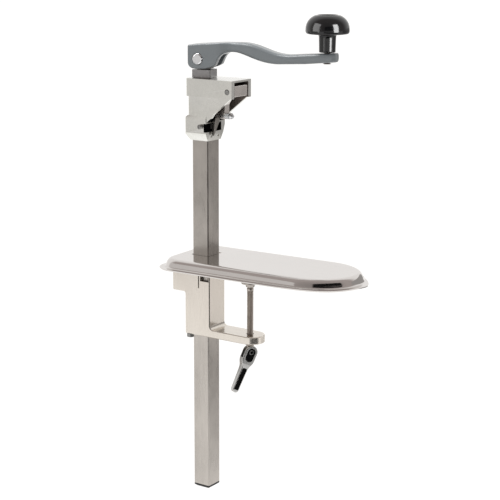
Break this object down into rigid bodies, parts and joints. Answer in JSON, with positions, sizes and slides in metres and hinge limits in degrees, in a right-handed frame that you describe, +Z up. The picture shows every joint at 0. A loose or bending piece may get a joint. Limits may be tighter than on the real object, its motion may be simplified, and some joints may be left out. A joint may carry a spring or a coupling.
{
  "type": "manual can opener",
  "caption": "Bench-clamped hand-cranked can opener: a square bar with a cutting head slides in a clamp frame under a pressed steel base plate.",
  "frame": {"origin": "point where the clamp screw's axis meets the bench top, on the underside of the frame's upper arm", "axes": "+Z up along the bar, +X along the base plate away from the bar, +Y to the side"},
  "size_m": [0.3045, 0.1479, 0.6858],
  "materials": {
    "frame_nickel": "satin",
    "plate_polished": "polished",
    "liner_plastic": "matte",
    "bolt_steel": "satin",
    "zinc": "satin",
    "bar_steel": "satin",
    "black_plastic": "matte",
    "head_nickel": "satin",
    "pin_steel": "satin",
    "bronze": "satin",
    "washer_steel": "satin",
    "spring_steel": "satin",
    "spindle_steel": "satin",
    "wheel_steel": "satin",
    "seat_steel": "satin",
    "crank_grey": "satin",
    "bright_chrome": "polished",
    "knob_black": "gloss",
    "cap_grey": "satin",
    "knife_steel": "polished",
    "foot_steel": "satin",
    "screw_steel": "satin",
    "lever_silver": "satin"
  },
  "bodies": {
    "base": {"clamp_frame": "frame_nickel", "base_plate": "plate_polished", "guide_liner_upper": "liner_plastic", "guide_liner_lower": "liner_plastic", "guide_bolt_1": "bolt_steel", "guide_bolt_2": "bolt_steel", "plate_screw_1": "zinc", "plate_screw_2": "zinc", "weld_nut_1": "zinc", "weld_nut_2": "zinc"},
    "slide_bar": {"square_bar": "bar_steel", "bar_end_cap": "black_plastic", "head_body": "head_nickel", "bar_pin_1": "pin_steel", "bar_pin_2": "pin_steel", "cross_pin": "pin_steel", "spindle_bush": "bronze", "thrust_washer": "washer_steel", "jaw_spring": "spring_steel", "collar_screw": "pin_steel"},
    "lift_sleeve": {"lift_sleeve": "bronze"},
    "spindle": {"spindle": "spindle_steel", "feed_wheel": "wheel_steel", "wheel_screw": "pin_steel"},
    "cam_seat": {"cam_seat": "seat_steel"},
    "crank": {"crank_handle": "crank_grey", "fork_pin": "bright_chrome", "knob_stud": "bright_chrome"},
    "knob": {"knob": "knob_black", "knob_cap": "cap_grey"},
    "jaw": {"jaw_arm": "head_nickel", "knife": "knife_steel", "knife_screw": "bright_chrome", "knife_lock_nut": "bright_chrome"},
    "screw_foot": {"screw_foot": "foot_steel"},
    "clamp_screw": {"clamp_screw": "screw_steel"},
    "clamp_lever": {"clamp_lever": "lever_silver", "lever_pin": "bright_chrome", "lever_inlay": "black_plastic", "hub_inlay": "black_plastic"}
  },
  "joints": [
    {"name": "bar_slide", "type": "slide", "parent": "base", "child": "slide_bar", "axis": [0, 0, 1], "range_m": [-0.155, 0.15]},
    {"name": "sleeve_rise", "type": "slide", "parent": "slide_bar", "child": "lift_sleeve", "axis": [0, 0, 1], "range_m": [0, 0.00331]},
    {"name": "crank_turn", "type": "hinge", "parent": "lift_sleeve", "child": "spindle", "pos_m": [-0.076, 0, 0.25], "axis": [0, 0, 1], "continuous": true},
    {"name": "cam_seat_turn", "type": "hinge", "parent": "slide_bar", "child": "cam_seat", "pos_m": [-0.076, 0, 0.27], "axis": [0, 0, 1], "continuous": true},
    {"name": "handle_lift", "type": "hinge", "parent": "spindle", "child": "crank", "pos_m": [-0.08087, -0.00112, 0.2889], "axis": [0.225, -0.9744, 0], "range_deg": [0, 90]},
    {"name": "knob_spin", "type": "hinge", "parent": "crank", "child": "knob", "pos_m": [0.09578, 0.03966, 0.3], "axis": [0, 0, 1], "continuous": true},
    {"name": "jaw_open", "type": "hinge", "parent": "slide_bar", "child": "jaw", "pos_m": [-0.0233, 0, 0.2474], "axis": [0, -1, 0], "range_deg": [0, 2.26]},
    {"name": "foot_rise", "type": "slide", "parent": "base", "child": "screw_foot", "axis": [0, 0, 1], "range_m": [-0.06, 0.005]},
    {"name": "clamp_turn", "type": "hinge", "parent": "screw_foot", "child": "clamp_screw", "pos_m": [0, 0, -0.08], "axis": [0, 0, 1], "range_deg": [-14399, 1199]},
    {"name": "lever_tilt", "type": "hinge", "parent": "clamp_screw", "child": "clamp_lever", "pos_m": [0, 0, -0.118], "axis": [0.866, -0.5, 0], "range_deg": [-65, 114]}
  ],
  "couplings": [
    {"joint": "sleeve_rise", "follows": "handle_lift", "m_per_rad": 0.0021009},
    {"joint": "jaw_open", "follows": "handle_lift", "ratio": 0.025},
    {"joint": "cam_seat_turn", "follows": "crank_turn", "ratio": 1},
    {"joint": "foot_rise", "follows": "clamp_turn", "m_per_rad": 0.00023873}
  ]
}
